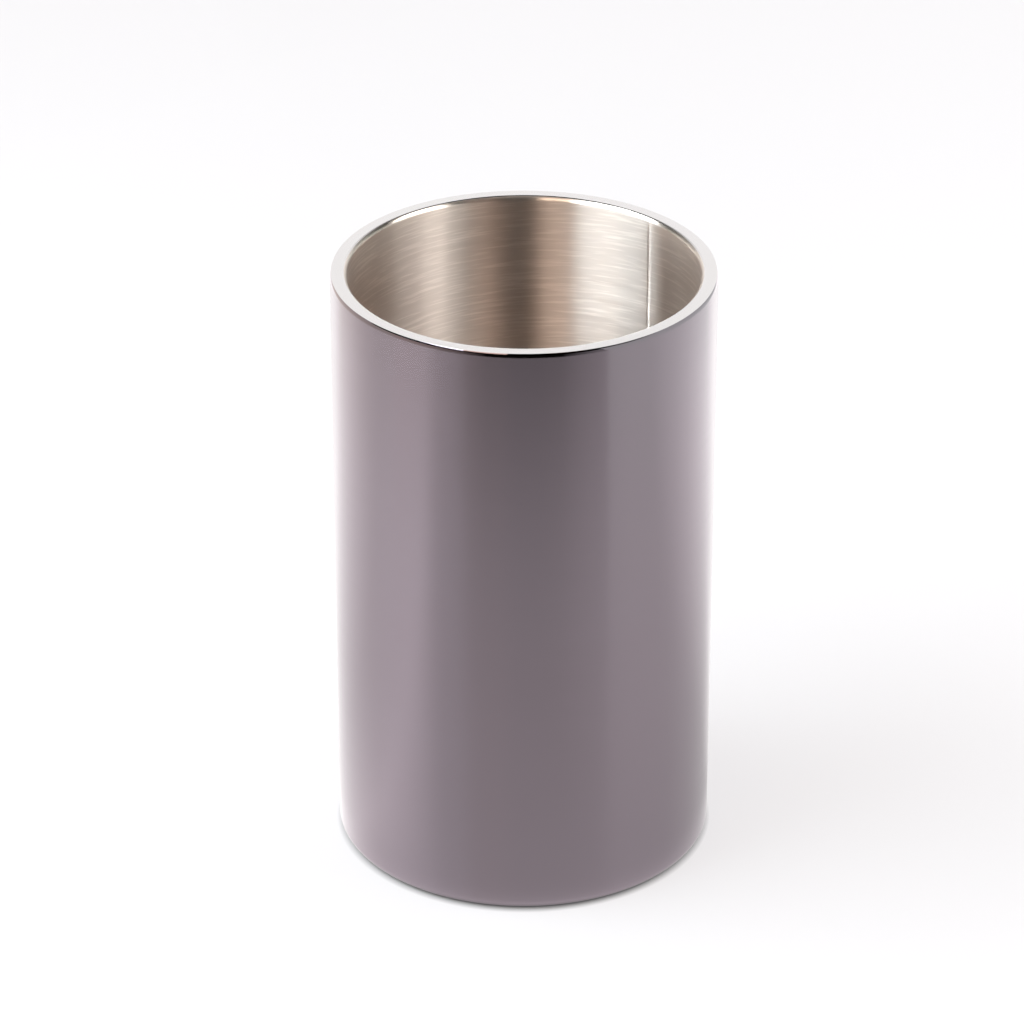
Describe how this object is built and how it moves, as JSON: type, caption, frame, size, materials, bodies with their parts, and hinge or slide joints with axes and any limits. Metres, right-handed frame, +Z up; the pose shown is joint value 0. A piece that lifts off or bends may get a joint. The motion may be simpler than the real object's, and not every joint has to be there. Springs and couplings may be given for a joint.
{
  "type": "double-walled bottle cooler",
  "caption": "Upright double-walled steel bottle cooler with a dark plated shell, a flat bright rim, a brushed well and a padded base.",
  "frame": {"origin": "centre of the pad's underside, on the surface that the cooler stands on", "axes": "+Z up along the cooler's axis, out of the mouth; the liner's weld seam is on the +Y side, towards +X"},
  "size_m": [0.12, 0.12, 0.196],
  "materials": {
    "shell_plating": "polished",
    "liner_steel": "satin",
    "plug_rubber": "matte",
    "pad_foam": "matte"
  },
  "bodies": {
    "root": {"outer_shell": "shell_plating", "inner_liner": "liner_steel", "liner_floor": "liner_steel", "base_cover": "shell_plating", "vent_plug": "plug_rubber", "base_pad": "pad_foam"}
  },
  "joints": []
}
